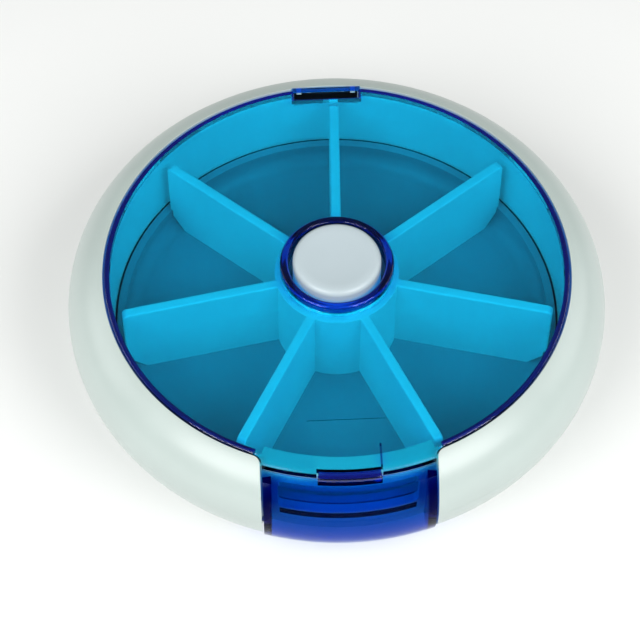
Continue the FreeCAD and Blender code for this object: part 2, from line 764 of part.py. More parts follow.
def pawl_ring():
    body = new_body("pawl_ring")
    bore = "(%s + pawl_fit)" % rotor_radius
    outer = "(%s + pawl_wall)" % bore
    middle = "(%s + pawl_wall / 2)" % bore
    bottom = "%s + pawl_lift" % rotor_bottom
    band = circles(body, "XY_Plane", [("0", "0", outer), ("0", "0", bore)], bottom)
    extruded(body, "Pad", band, "pawl_height")
    for tip in ("0", "pawl_step_count * %s" % step_angle):
        root = polar(outer, "%s - pawl_sweep" % tip)
        crook = polar("pawl_reach - pawl_wall", tip)
        arm = outline(body, "XY_Plane", [
            (root[0], root[1], "pawl_outer_bend", 1),
            polar("pawl_reach", tip),
            (crook[0], crook[1], "pawl_inner_bend", -1),
            polar(middle, "%s - pawl_root_sweep" % tip),
            polar(middle, "%s - pawl_sweep" % tip),
        ], bottom)
        extruded(body, "Pad", arm, "pawl_height")
    return body


def drive_rotor():
    body = new_body("drive_rotor")
    rotor_top = "(lug_height + lug_radius + lug_gap + rotor_margin)"
    floor_top = "(%s + rotor_floor)" % rotor_bottom
    bore = "(%s + journal_gap)" % journal_radius
    tube = outline(body, "YZ_Plane", [
        (bore, rotor_bottom),
        (rotor_radius, rotor_bottom),
        (rotor_radius, rotor_top),
        (rotor_bore, rotor_top),
        (rotor_bore, floor_top),
        (bore, floor_top),
    ])
    turned(body, "Revolution", tube)
    # The slot's middle line runs from one end of the lug's path to the other, seen square to the tube.
    run = "((%s + %s) * sin(%s / 2 * 1deg))" % (rotor_bore, rotor_radius, step_angle)
    length = "sqrt(%s^2 + stroke_length^2)" % run
    half = "(lug_radius + lug_gap)"
    middle = "(lug_height - stroke_length / 2)"
    corners = []
    for along, aside in ((1, -1), (1, 1), (-1, 1), (-1, -1)):
        reach = "(%d * (%s / 2 + %s))" % (along, length, half)
        offset = "(%d * %s)" % (aside, half)
        across = "%s * %s / %s - %s * stroke_length / %s" % (reach, run, length, offset, length)
        up = "%s + %s * stroke_length / %s + %s * %s / %s" % (middle, reach, length, offset, run, length)
        corners.append((across, up))
    slot = outline(body, "XZ_Plane", corners)
    cut = extruded(body, "Pocket", slot, "2 * %s" % rotor_radius, reverse=True)
    patterned(body, [cut], "2")
    turn_about_axis(body, "-%s / 2" % step_angle)
    return body


def button_plunger():
    body = new_body("button_plunger")
    head_radius = "(button_radius - button_wall - button_fit)"
    bottom = "(%s - plunger_drop)" % head_under
    tube = outline(body, "YZ_Plane", [
        ("plunger_bore", bottom),
        (plunger_radius, bottom),
        (plunger_radius, head_under),
        (head_radius, head_under),
        (head_radius, plunger_head),
        ("0", plunger_head),
        ("0", head_under),
        ("plunger_bore", head_under),
    ])
    turned(body, "Revolution", tube)
    half = "(guide_side / 2)"
    guide = outline(body, "XY_Plane", box_corners("-" + half, half, "-" + half, half), head_under)
    extruded(body, "Pad", guide, "guide_drop", reverse=True)
    lug_start = "(plunger_bore + plunger_wall / 2)"
    lug = circles(body, "XZ_Plane", [("0", "lug_height", "lug_radius")], lug_start)
    stub = extruded(body, "Pad", lug, "lug_reach - %s" % lug_start)
    patterned(body, [stub], "2")
    return body


def button_cap():
    body = new_body("button_cap")
    skirt = "(%s - button_skirt)" % button_top
    cap_inner = "(button_radius - button_wall)"
    flat = "(button_radius - button_round)"
    dish_radius = "(%s^2 + button_dish^2) / (2 * button_dish)" % flat
    cap = outline(body, "YZ_Plane", [
        ("0", plunger_head),
        (cap_inner, plunger_head),
        (cap_inner, skirt),
        ("button_radius", skirt),
        ("button_radius", "%s - button_round" % button_top, "button_round", 1),
        (flat, button_top, dish_radius, -1),
        ("0", "%s - button_dish" % button_top),
    ])
    turned(body, "Revolution", cap)
    return body


def centre_post():
    body = new_body("centre_post")
    shaft = outline(body, "YZ_Plane", [
        ("0", post_bottom),
        ("post_collar", post_bottom),
        ("post_collar", "post_collar_top"),
        (journal_radius, "post_collar_top"),
        (journal_radius, journal_top),
        ("post_radius", journal_top),
        ("post_radius", "post_top"),
        ("0", "post_top"),
    ])
    turned(body, "Revolution", shaft)
    half = "(post_base_side / 2)"
    base = outline(body, "XY_Plane", box_corners("-" + half, half, "-" + half, half), post_bottom)
    extruded(body, "Pad", base, "post_base_height")
    bore = "(guide_side / 2 + guide_gap)"
    socket = outline(body, "XY_Plane", box_corners("-" + bore, bore, "-" + bore, bore), "post_top")
    extruded(body, "Pocket", socket, "socket_depth")
    pilot = circles(body, "XY_Plane", [("0", "0", "screw_radius + screw_pilot_gap")], post_bottom)
    pilot_depth = "%s + screw_length + screw_gap - %s" % (counterbore_top, post_bottom)
    extruded(body, "Pocket", pilot, pilot_depth, reverse=True)
    return body


def spring_seat():
    body = new_body("spring_seat")
    washer_rounds = [("0", "0", "seat_radius"), ("0", "0", "post_radius + seat_gap")]
    washer = circles(body, "XY_Plane", washer_rounds, journal_top)
    extruded(body, "Pad", washer, "seat_thickness")
    return body


def screw(label, length, head_height):
    # Modelled head down at the origin, with the shank pointing up.
    body = new_body(label)
    profile = outline(body, "YZ_Plane", [
        ("0", "-" + head_height),
        ("screw_head_radius", "-" + head_height),
        ("screw_head_radius", "0"),
        ("screw_radius", "0"),
        ("screw_radius", length),
        ("0", length),
    ])
    turned(body, "Revolution", profile)
    return body


def centre_screw():
    body = screw("centre_screw", "screw_length", "screw_head_height")
    body.setExpression("Placement.Base.z", bound(counterbore_top))
    return body


def index_screw():
    body = screw("index_screw", "index_screw_length - index_screw_gap", "index_head_height")
    body.Placement = FreeCAD.Placement(FreeCAD.Vector(), FreeCAD.Rotation(FreeCAD.Vector(1, 0, 0), 180))
    across, along = turned_point("index_reach", index_foot_middle, "index_azimuth")
    body.setExpression("Placement.Base.x", bound(across))
    body.setExpression("Placement.Base.y", bound(along))
    body.setExpression("Placement.Base.z", bound("index_boss_top + index_leaf"))
    return body


def index_spring():
    body = new_body("index_spring")
    shoulder = "(wheel_lift + index_depth - index_nose_rise)"
    nose_radius = "(index_nose^2 + index_nose_rise^2) / (2 * index_nose_rise)"
    foot_end = "(index_span + index_foot)"
    leaf = outline(body, "YZ_Plane", [
        (foot_end, "index_boss_top"),
        (foot_end, "index_boss_top + index_leaf"),
        ("index_span", "index_boss_top + index_leaf"),
        ("index_nose", shoulder, nose_radius, 1),
        ("-index_nose", shoulder),
        ("-index_nose", "%s - index_leaf" % shoulder),
        ("index_nose", "%s - index_leaf" % shoulder),
        ("index_span", "index_boss_top"),
    ], "index_reach - index_width / 2")
    extruded(body, "Pad", leaf, "index_width")
    hole = circles(body, "XY_Plane", [("index_reach", index_foot_middle, "screw_radius + screw_gap")])
    extruded(body, "Pocket", hole, "wheel_lift", reverse=True)
    turn_about_axis(body, "index_azimuth")
    return body


def helix_point(angle, radius, pitch, bottom):
    height = bottom + pitch * angle / math.tau
    return FreeCAD.Vector(radius * math.cos(angle), radius * math.sin(angle), height)


def helix_heading(angle, radius, pitch):
    heading = FreeCAD.Vector(-radius * math.sin(angle), radius * math.cos(angle), pitch / math.tau)
    return heading.normalize()


def tangent_arc(start, knee, end):
    # Arc from start to end whose tangents meet at the knee, equally far from both.
    reach = (start - knee).Length
    bisector = ((start + end) / 2 - knee).normalize()
    half_turn = math.acos(min(1.0, (start - knee).normalize().dot(bisector)))
    radius = reach * math.tan(half_turn)
    middle = knee + bisector * (radius / math.sin(half_turn) - radius)
    return Part.Arc(start, middle, end).toShape()


def biarc(start, start_heading, end, end_heading):
    gap = end - start
    both = start_heading + end_heading
    square = both.dot(both) - 4
    across = gap.dot(both)
    reach = (across - math.sqrt(across ** 2 - square * gap.dot(gap))) / square
    if reach < 0:
        reach = (across + math.sqrt(across ** 2 - square * gap.dot(gap))) / square
    first_knee = start + start_heading * reach
    last_knee = end - end_heading * reach
    joint = (first_knee + last_knee) / 2
    return [tangent_arc(start, first_knee, joint), tangent_arc(joint, last_knee, end)]


def coil_gap(radius, pitch, bottom, turns, wire):
    steps = 24
    angles = [math.tau * index / steps for index in range(int(turns * steps) + 1)]
    points = [helix_point(angle, radius, pitch, bottom) for angle in angles]
    least = min((points[low] - points[high]).Length
                for low in range(len(points)) for high in range(low + steps // 2, len(points)))
    return least - wire


def return_spring():
    wire = value("spring_wire")
    radius = value("spring_radius")
    turns = value("spring_turns")
    bottom = value(seat_top) + value("spring_end_gap") + wire / 2
    top = value(head_under) - value("spring_end_gap") - wire / 2
    pitch = (top - bottom) / turns
    quarter = math.tau / 4
    edges = []
    for index in range(round(turns * 4)):
        start = index * quarter
        end = start + quarter
        edges += biarc(helix_point(start, radius, pitch, bottom), helix_heading(start, radius, pitch),
                       helix_point(end, radius, pitch, bottom), helix_heading(end, radius, pitch))
    path = Part.Wire(edges)
    circle = Part.Circle(helix_point(0, radius, pitch, bottom), helix_heading(0, radius, pitch), wire / 2)
    section = Part.Wire(circle.toShape())
    coil = doc.addObject("Part::Feature", "return_spring")
    coil.Label = "return_spring"
    coil.Shape = path.makePipeShell([section], True, False)
    coil.Placement = FreeCAD.Placement()
    print("return spring least gap %.2f mm" % coil_gap(radius, pitch, bottom, turns, wire))
    return coil


pieces = [
    upper_case(),
    lower_case(),
    lid(),
    front_hatch(),
    hatch_pins(),
    wheel_tray(),
    divider_star(),
    ratchet_ring(),
    pawl_ring(),
    drive_rotor(),
    button_plunger(),
    button_cap(),
    centre_post(),
    centre_screw(),
    spring_seat(),
    return_spring(),
    index_spring(),
    index_screw(),
]
doc.recompute()

for item in doc.Objects:
    if "Invalid" in item.State or "Error" in item.State:
        raise RuntimeError("%s did not build: %s" % (item.Label, item.State))
for piece in pieces:
    if piece.Shape.isNull() or not piece.Shape.isValid():
        raise RuntimeError("%s has no valid shape" % piece.Label)

os.makedirs("parts", exist_ok=True)
for piece in pieces:
    piece.Shape.exportStep("parts/%s.step" % piece.Label)
    print("%s: %d solid(s), %.1f mm3" % (piece.Label, len(piece.Shape.Solids), piece.Shape.Volume))
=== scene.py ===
import bmesh
import bpy
import math
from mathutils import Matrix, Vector


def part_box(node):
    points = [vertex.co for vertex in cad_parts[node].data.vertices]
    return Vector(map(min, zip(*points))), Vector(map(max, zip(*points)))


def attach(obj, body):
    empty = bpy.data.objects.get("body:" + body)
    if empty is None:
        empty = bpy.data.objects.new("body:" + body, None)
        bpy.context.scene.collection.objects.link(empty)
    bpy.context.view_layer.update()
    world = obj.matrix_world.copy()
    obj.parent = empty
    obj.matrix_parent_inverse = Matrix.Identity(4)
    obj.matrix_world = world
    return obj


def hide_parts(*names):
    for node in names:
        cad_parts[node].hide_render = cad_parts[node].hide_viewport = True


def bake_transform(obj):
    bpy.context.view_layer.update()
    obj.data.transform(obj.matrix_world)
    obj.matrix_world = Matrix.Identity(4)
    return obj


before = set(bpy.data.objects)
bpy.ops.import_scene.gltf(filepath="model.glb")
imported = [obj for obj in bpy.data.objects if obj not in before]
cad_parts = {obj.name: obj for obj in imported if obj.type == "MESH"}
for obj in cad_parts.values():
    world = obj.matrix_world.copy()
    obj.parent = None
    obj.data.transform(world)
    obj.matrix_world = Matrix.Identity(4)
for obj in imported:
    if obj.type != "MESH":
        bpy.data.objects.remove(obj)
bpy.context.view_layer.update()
print("frame loaded with", len(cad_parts), "nodes")


def mm(size):
    return size / 1000


def inMm(length):
    return length * 1000


def linearColour(hexText):
    channels = []
    for start in (1, 3, 5):
        level = int(hexText[start:start + 2], 16) / 255
        channels.append(level / 12.92 if level <= 0.04045 else ((level + 0.055) / 1.055) ** 2.4)
    return (*channels, 1.0)


# camera fitted to the lid's rim, the case's outline and the tray's floor
cameraSet = {
    "distance": 420.0, "elevation": 55.7, "azimuth": -2.7, "lens": 129.7, "sensor": 36.0,
    "targetAside": -2.98, "targetHeight": 9.1, "clipStart": 10.0,
}


def placeCamera():
    turn = math.radians(cameraSet["azimuth"])
    rise = math.radians(cameraSet["elevation"])
    back = Vector((math.sin(turn) * math.cos(rise), -math.cos(turn) * math.cos(rise), math.sin(rise)))
    aside = mm(cameraSet["targetAside"])
    target = Vector((aside * math.cos(turn), aside * math.sin(turn), mm(cameraSet["targetHeight"])))
    data = bpy.data.cameras.new("photoCamera")
    data.lens = cameraSet["lens"]
    data.sensor_width = cameraSet["sensor"]
    data.clip_start = mm(cameraSet["clipStart"])
    camera = bpy.data.objects.new("photoCamera", data)
    bpy.context.scene.collection.objects.link(camera)
    camera.location = target + back * mm(cameraSet["distance"])
    camera.rotation_mode = "QUATERNION"
    camera.rotation_quaternion = (-back).to_track_quat("-Z", "Y")
    bpy.context.scene.camera = camera


placeCamera()
print("camera placed")

# hand tools, all in millimetres
meshSet = {
    "traceWeld": 0.001, "weld": 0.002, "sliver": 0.002, "pinholeSides": 4,
    "smoothAngle": 32.0, "faceWeight": 100,
}


def clearSelection():
    if bpy.context.object and bpy.context.object.mode != "OBJECT":
        bpy.ops.object.mode_set(mode="OBJECT")
    bpy.ops.object.select_all(action="DESELECT")


def pick(piece):
    clearSelection()
    piece.select_set(True)
    bpy.context.view_layer.objects.active = piece


def arcRun(centre, radius, fromAngle, toAngle, steps):
    # points along an arc, both ends included, angles in degrees
    run = []
    for step in range(steps + 1):
        angle = math.radians(fromAngle + (toAngle - fromAngle) * step / steps)
        run.append((centre[0] + radius * math.cos(angle), centre[1] + radius * math.sin(angle)))
    return run


def circleRun(centre, radius, sides=24):
    return arcRun(centre, radius, 0, 360 - 360 / sides, sides - 1)


def rectangle(left, right, low, high):
    return [(left, low), (right, low), (right, high), (left, high)]


def mirrored(run):
    return [(-x, y) for x, y in reversed(run)]


def traceOutline(name, places, closed=True):
    # a plane pinched to one vertex, then extruded from place to place
    clearSelection()
    bpy.ops.mesh.primitive_plane_add(size=mm(1), location=(0, 0, 0))
    piece = bpy.context.object
    piece.name = name
    piece.data.name = name
    bpy.ops.object.mode_set(mode="EDIT")
    bpy.ops.mesh.select_mode(type="VERT")
    bpy.ops.mesh.select_all(action="SELECT")
    bpy.ops.mesh.merge(type="CENTER")
    path = list(places) + ([places[0]] if closed else [])
    bpy.ops.transform.translate(value=[mm(v) for v in path[0]])
    for last, place in zip(path, path[1:]):
        step = [mm(b - a) for a, b in zip(last, place)]
        bpy.ops.mesh.extrude_vertices_move(TRANSFORM_OT_translate={"value": step})
    bpy.ops.mesh.select_all(action="SELECT")
    bpy.ops.mesh.remove_doubles(threshold=mm(meshSet["traceWeld"]))
    return piece


def tidyMesh(piece, reach=meshSet["weld"]):
    # doubles within reach merged first, pinholes closed, then the faces turned outwards
    if piece.mode != "EDIT":
        pick(piece)
        bpy.ops.object.mode_set(mode="EDIT")
    bpy.ops.mesh.select_all(action="SELECT")
    bpy.ops.mesh.remove_doubles(threshold=mm(reach))
    bpy.ops.mesh.dissolve_degenerate(threshold=mm(meshSet["sliver"]))
    bpy.ops.mesh.select_all(action="SELECT")
    bpy.ops.mesh.fill_holes(sides=meshSet["pinholeSides"])
    bpy.ops.mesh.select_all(action="SELECT")
    bpy.ops.mesh.normals_make_consistent(inside=False)
    bpy.ops.object.mode_set(mode="OBJECT")


def lathe(name, profile, steps=192, turn=360.0, middle=-90.0, closed=True):
    # profile of (radius, height) points, swept about the upright axis; a part turn is centred on an azimuth
    start = math.radians(middle + turn / 2)  # spin sweeps clockwise
    places = [(r * math.cos(start), r * math.sin(start), z) for r, z in profile]
    piece = traceOutline(name, places, closed)
    if turn < 360:
        bpy.ops.mesh.select_all(action="SELECT")
        bpy.ops.mesh.edge_face_add()
    bpy.ops.mesh.select_all(action="SELECT")
    bpy.ops.mesh.spin(steps=steps, angle=math.radians(turn), center=(0, 0, 0), axis=(0, 0, 1))
    tidyMesh(piece)
    return piece


def drawOut(name, places, step):
    # closed outline, filled and extruded by one step
    piece = traceOutline(name, places)
    bpy.ops.mesh.edge_face_add()
    bpy.ops.mesh.extrude_region_move(TRANSFORM_OT_translate={"value": [mm(v) for v in step]})
    tidyMesh(piece)
    return piece


def slab(name, corners, low, high):
    # plan outline of (x, y) corners, raised from one height to another
    return drawOut(name, [(x, y, low) for x, y in corners], (0, 0, high - low))


def sideSlab(name, corners, left, right):
    # side outline of (y, z) corners, extruded across
    return drawOut(name, [(left, y, z) for y, z in corners], (right - left, 0, 0))


def frontSlab(name, corners, front, back):
    # front outline of (x, z) corners, extruded backwards
    return drawOut(name, [(x, front, z) for x, z in corners], (0, back - front, 0))


def rod(name, y, z, radius, left, right):
    # round bar lying across
    return sideSlab(name, circleRun((y, z), radius), left, right)


def combine(piece, other, operation):
    pick(piece)
    step = piece.modifiers.new("cut", "BOOLEAN")
    step.operation = operation
    step.solver = "EXACT"
    step.object = other
    bpy.ops.object.modifier_apply(modifier=step.name)
    bpy.data.objects.remove(other, do_unlink=True)


def cutAway(piece, cutter):
    combine(piece, cutter, "DIFFERENCE")


def joinOn(piece, other):
    combine(piece, other, "UNION")


def roundEdges(piece, width, segments, chosen, sharpest=30.0):
    # bevels the sharp edges whose middle, in millimetres, the test accepts
    pick(piece)
    bpy.ops.object.mode_set(mode="EDIT")
    bpy.ops.mesh.select_mode(type="EDGE")
    bpy.ops.mesh.select_all(action="DESELECT")
    mesh = bmesh.from_edit_mesh(piece.data)
    for edge in mesh.edges:
        if len(edge.link_faces) == 2 and edge.calc_face_angle(0) > math.radians(sharpest):
            middle = inMm((edge.verts[0].co + edge.verts[1].co) / 2)
            edge.select_set(bool(chosen(middle)))
    mesh.select_flush_mode()
    bmesh.update_edit_mesh(piece.data)
    bpy.ops.mesh.bevel(offset_type="OFFSET", offset=mm(width), segments=segments, profile=0.5,
                       affect="EDGES", clamp_overlap=True)
    bpy.ops.object.mode_set(mode="OBJECT")


def openEdges(piece):
    mesh = bmesh.new()
    mesh.from_mesh(piece.data)
    count = sum(1 for edge in mesh.edges if len(edge.link_faces) != 2)
    mesh.free()
    return count


def dressPiece(piece, slotName, material, *nodes):
    # sharp edges kept crisp, and flat faces kept flat beside rounded ones
    tidyMesh(piece)
    pick(piece)
    bpy.ops.object.shade_smooth_by_angle(angle=math.radians(meshSet["smoothAngle"]))
    step = piece.modifiers.new("flatFaces", "WEIGHTED_NORMAL")
    step.weight = meshSet["faceWeight"]
    step.keep_sharp = True
    bpy.ops.object.modifier_apply(modifier=step.name)
    piece.data.materials.clear()
    piece.data.materials.append(material)
    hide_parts(*nodes)
    print(piece.name, "modelled,", len(piece.data.polygons), "faces,", openEdges(piece), "open edges")


def finishPiece(piece, body, slotName, material, *nodes):
    dressPiece(piece, slotName, material, *nodes)
    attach(piece, body)


# materials
whiteSet = {
    "ior": 1.54, "cloud": 14.0, "cloudDetail": 3.0, "cloudRoughness": 0.55, "cloudShade": 0.965,
    "cloudLow": 0.35, "cloudHigh": 0.65, "satinSpread": 0.04,
    "grain": 0.45, "grainDetail": 2.0, "grainStrength": 0.05, "grainDepth": 0.05,
}
clearSet = {"flow": 9.0, "flowDetail": 2.0, "hazeSpread": 0.03}
steelSet = {"mark": 0.8, "markDetail": 2.0, "sheenSpread": 0.06}


def addNode(tree, kind, links=(), **settings):
    # settings are properties of the node, or values of its inputs by name
    node = tree.nodes.new(kind)
    for key, setting in settings.items():
        if key in node.bl_rna.properties:
            setattr(node, key, setting)
        else:
            node.inputs[key].default_value = setting
    for socket, source in links:
        tree.links.new(source, node.inputs[socket])
    return node


def newMaterial(name):
    material = bpy.data.materials.new(name)
    material.use_nodes = True
    tree = material.node_tree
    return material, tree, tree.nodes["Principled BSDF"]


def addNoise(tree, size, **settings):
    # noise fixed to the piece, with its grain size in millimetres
    place = addNode(tree, "ShaderNodeTexCoord")
    return addNode(tree, "ShaderNodeTexNoise", [("Vector", place.outputs["Object"])],
                   Scale=1 / mm(size), **settings)


def spreadRoughness(tree, shader, noise, low, high):
    spread = addNode(tree, "ShaderNodeMapRange", [("Value", noise.outputs["Fac"])])
    spread.inputs["To Min"].default_value = low
    spread.inputs["To Max"].default_value = high
    tree.links.new(spread.outputs["Result"], shader.inputs["Roughness"])


def whitePlastic(name, hexText, roughness):
    # moulded opaque plastic: satin sheen, faint flow clouds and a very fine spark-eroded grain
    s = whiteSet
    material, tree, shader = newMaterial(name)
    shader.inputs["IOR"].default_value = s["ior"]
    clouds = addNoise(tree, s["cloud"], Detail=s["cloudDetail"], Roughness=s["cloudRoughness"])
    tone = addNode(tree, "ShaderNodeValToRGB", [("Fac", clouds.outputs["Fac"])])
    base = linearColour(hexText)
    shaded, plain = tone.color_ramp.elements
    shaded.position = s["cloudLow"]
    shaded.color = [v * s["cloudShade"] for v in base[:3]] + [1]
    plain.position = s["cloudHigh"]
    plain.color = base
    tree.links.new(tone.outputs["Color"], shader.inputs["Base Color"])
    spreadRoughness(tree, shader, clouds, roughness - s["satinSpread"], roughness + s["satinSpread"])
    grain = addNoise(tree, s["grain"], Detail=s["grainDetail"])
    bump = addNode(tree, "ShaderNodeBump", [("Height", grain.outputs["Fac"])],
                   Strength=s["grainStrength"], Distance=mm(s["grainDepth"]))
    tree.links.new(bump.outputs["Normal"], shader.inputs["Normal"])
    return material


def clearPlastic(name, hexText, density, roughness, ior):
    # dyed clear polystyrene: the dye darkens with depth, so edges and folds go navy
    s = clearSet
    material, tree, shader = newMaterial(name)
    output = tree.nodes["Material Output"]
    shader.inputs["Base Color"].default_value = (1, 1, 1, 1)
    shader.inputs["IOR"].default_value = ior
    shader.inputs["Transmission Weight"].default_value = 1.0
    dye = addNode(tree, "ShaderNodeVolumeAbsorption", Color=linearColour(hexText), Density=density)
    tree.links.new(dye.outputs["Volume"], output.inputs["Volume"])
    flow = addNoise(tree, s["flow"], Detail=s["flowDetail"])
    spreadRoughness(tree, shader, flow, roughness, roughness + s["hazeSpread"])
    # rays from the lamps go straight through, so the dyed light reaches what lies behind
    rays = addNode(tree, "ShaderNodeLightPath")
    passing = addNode(tree, "ShaderNodeBsdfTransparent")
    sheet = addNode(tree, "ShaderNodeMixShader", [
        (0, rays.outputs["Is Shadow Ray"]), (1, shader.outputs["BSDF"]), (2, passing.outputs["BSDF"])])
    tree.links.new(sheet.outputs["Shader"], output.inputs["Surface"])
    return material


def turnedSteel(name, hexText, roughness):
    # drawn and turned steel: a bright metal whose sheen varies in small patches
    s = steelSet
    material, tree, shader = newMaterial(name)
    shader.inputs["Base Color"].default_value = linearColour(hexText)
    shader.inputs["Metallic"].default_value = 1.0
    marks = addNoise(tree, s["mark"], Detail=s["markDetail"])
    spreadRoughness(tree, shader, marks, roughness - s["sheenSpread"], roughness + s["sheenSpread"])
    return material


caseWhite = whitePlastic("mouldedWhiteAbs", "#C0CCC8", 0.3)
wheelWhite = whitePlastic("mouldedWhiteStyrene", "#F4F8F6", 0.4)
# painted shade: a dark grey for the hinge slot's hollow, the gutter and the wall in the tray's gap
paintedShade = whitePlastic("paintedShadeAbs", "#22282C", 0.6)  # stands for depth that no light reaches
# painted shade: a greyer copy of the wheel's white, so the compartment floors read darker
trayShadedWhite = whitePlastic("shadedTrayStyrene", "#9CA5AE", 0.42)
buttonWhite = whitePlastic("mouldedButtonAbs", "#BECBD1", 0.34)
driveAcetal = whitePlastic("naturalAcetal", "#DAD9CF", 0.42)
# the plate, the collar and the hatch have a lower IOR than solid styrene, so that their edges don't go black
lidBlue = clearPlastic("skyBlueClearStyrene", "#04E7F2", 1500.0, 0.01, 1.42)
# painted shade: the plate's styrene with a denser dye, so the bead, slot frame, hinge bar, slit and tab go
# navy
navyShadeBlue = clearPlastic("navyShadeClearStyrene", "#00D2F2", 5000.0, 0.01, 1.55)
# painted shade: twice the plate's dye, so the collar ring reads darker
collarBlue = clearPlastic("ringBlueClearStyrene", "#00DEF7", 3000.0, 0.01, 1.38)
hatchBlue = clearPlastic("deepBlueClearStyrene", "#00DEF7", 3500.0, 0.015, 1.15)
springSteel = turnedSteel("springSteel", "#B9BBBD", 0.3)
pinSteel = turnedSteel("drawnPinSteel", "#C6C8CA", 0.26)
screwSteel = turnedSteel("zincPlatedSteel", "#BFC4C8", 0.34)
print("materials mixed")

# what both shells of the case share: the parting seam, the front bay and how far its cutter reaches
shellSet = {
    "seamHeight": 16.5, "seamFrom": 47.5, "seamSlack": 0.02, "seamRound": 0.22, "seamSegments": 2,
    "bayHalf": 14.9, "baySlack": 0.05, "bayFront": -52.0, "baySteps": 24, "cutLow": -5.0, "cutHigh": 40.0,
    "edgeRound": 0.45, "edgeSegments": 4,
}


def onSeam(place):
    s = shellSet
    return abs(place.z - s["seamHeight"]) < s["seamSlack"] and place.xy.length > s["seamFrom"]


def onBaySide(place):
    return abs(abs(place.x) - shellSet["bayHalf"]) < shellSet["baySlack"]


def frontArc(half, radius, steps):
    # arc about the axis across the front, from left to right
    side = math.degrees(math.asin(half / radius))
    return arcRun((0, 0), radius, -90 - side, -90 + side, steps)


def frontBay(radius):
    # everything in front of an arc about the axis, between two upright planes
    s = shellSet
    half = s["bayHalf"]
    outline = frontArc(half, radius, s["baySteps"]) + [(half, s["bayFront"]), (-half, s["bayFront"])]
    return slab("bayCutter", outline, s["cutLow"], s["cutHigh"])


# white case, upper shell
crownSet = {
    "rimRadius": 41.3, "arcCentre": (37.915, 16.5), "arcRadius": 10.085, "arcSteps": 22,
    "wallOuter": 41.6, "wallInner": 40.0, "wallBottom": 7.82, "wallSlack": 0.3, "gapTop": 11.2,
    "seat": 24.25, "seatAhead": 0.2, "seatInset": 0.3, "seatWeld": 0.06,
    "bayRound": 1.6, "shelfOuter": 41.9,
    "upperFrom": 16.7, "rimFrom": 41.2, "rimAbove": 24.6, "bayFrom": 43.0,
    "landingInner": 38.4, "landingBite": 0.6, "landingBottom": 23.9, "landingRise": 1.0, "landingTurn": 42.8,
    "outletHalf": 12.0, "outletLow": 11.6, "outletHigh": 19.8, "outletRound": 1.0,
    "outletFront": -50.0, "outletBack": -30.0,
    "gutterTurn": 33.0, "gutterInner": 40.6, "gutterSpare": 1.0, "gutterLow": 9.3, "gutterHigh": 11.2,
    "reliefHalf": 6.4, "reliefInner": 38.3, "reliefOuter": 41.15, "reliefLift": 0.15, "reliefHigh": 30.0,
    "windowHalf": 5.95, "windowLow": 22.05, "windowHigh": 25.0,
    "pocketHalf": 5.9, "pocketInner": 41.0, "pocketOuter": 43.2, "pocketLow": 17.0, "pocketHigh": 24.3,
    "hollowInner": 42.4, "hollowOuter": 45.6, "hollowLow": 16.9, "hollowHigh": 21.5, "hollowTurn": 40.0,
    "clawSpread": 5.0, "clawWidth": 0.9, "clawInner": 40.55, "clawRoot": 0.3,
    "clawLow": 24.65, "clawHigh": 25.75,
    "barReach": 40.55, "barHeight": 25.8, "socketRadius": 0.53, "socketBefore": 1.0, "socketAfter": 3.0,
    "partSteps": 24, "slack": 0.05, "upright": 0.5,
}
discSet = {"flareSteps": 8, "halfSteps": 96, "flareGap": 0.4, "cornerSteps": 5}


def flareArc(half, radius, corner):
    # rounded corner where a disc opens into a lip, on the left, from the round edge to the lip's side
    centre = math.sqrt((radius + corner) ** 2 - (half + corner) ** 2)
    lean = math.degrees(math.atan2(centre, half + corner))
    return arcRun((-half - corner, -centre), corner, lean, 0, discSet["flareSteps"])


def flaredDisc(half, radius, corner, front):
    # plan outline of a disc that opens forward through rounded corners; front runs from left to right
    left = flareArc(half, radius, corner)
    halfTurn = arcRun((0, 0), radius, -90, 90, discSet["halfSteps"])
    right = [place for place in halfTurn if place[1] > left[0][1] + discSet["flareGap"]]
    return left + front + mirrored(left) + right + mirrored(right)[1:]


def roundedRectangle(half, low, high, corner):
    outline = []
    for x, z, start in ((half - corner, low + corner, -90), (half - corner, high - corner, 0),
                        (corner - half, high - corner, 90), (corner - half, low + corner, 180)):
        outline += arcRun((x, z), corner, start, start + 90, discSet["cornerSteps"])
    return outline


def crownShell():
    # the crown's arc runs on over the chamber wall, and a landing for the lip is joined on at the front
    s = crownSet
    lean = math.degrees(math.acos((s["wallInner"] - s["arcCentre"][0]) / s["arcRadius"]))
    profile = arcRun(s["arcCentre"], s["arcRadius"], lean, 0, s["arcSteps"])
    profile += [(s["wallOuter"], shellSet["seamHeight"]), (s["wallOuter"], s["wallBottom"]),
                (s["wallInner"], s["wallBottom"]), (s["wallInner"], s["gapTop"])]
    crown = lathe("caseCrown", profile)
    landing = rectangle(s["landingInner"], s["wallInner"] + s["landingBite"],
                        s["landingBottom"], s["seat"] + s["landingRise"])
    joinOn(crown, lathe("landing", landing, steps=s["partSteps"], turn=s["landingTurn"]))
    return crown


def cutCrownFront(crown):
    # hatch bay, sunk seat of the lid, outlet, and the gutter under the outlet's ledge, which gets painted
    # shade later
    s = crownSet
    half = shellSet["bayHalf"]
    cutAway(crown, frontBay(s["shelfOuter"]))
    front = frontArc(half - s["seatInset"], s["shelfOuter"] + s["seatAhead"], shellSet["baySteps"])
    seat = flaredDisc(half, s["rimRadius"], s["bayRound"], front)
    cutAway(crown, slab("lidSeat", seat, s["seat"], shellSet["cutHigh"]))
    outlet = roundedRectangle(s["outletHalf"], s["outletLow"], s["outletHigh"], s["outletRound"])
    cutAway(crown, frontSlab("outletCutter", outlet, s["outletFront"], s["outletBack"]))
    gutter = rectangle(s["gutterInner"], s["wallOuter"] + s["gutterSpare"], s["gutterLow"], s["gutterHigh"])
    cutAway(crown, lathe("gutterCutter", gutter, steps=s["partSteps"], turn=s["gutterTurn"]))
    tidyMesh(crown, s["seatWeld"])


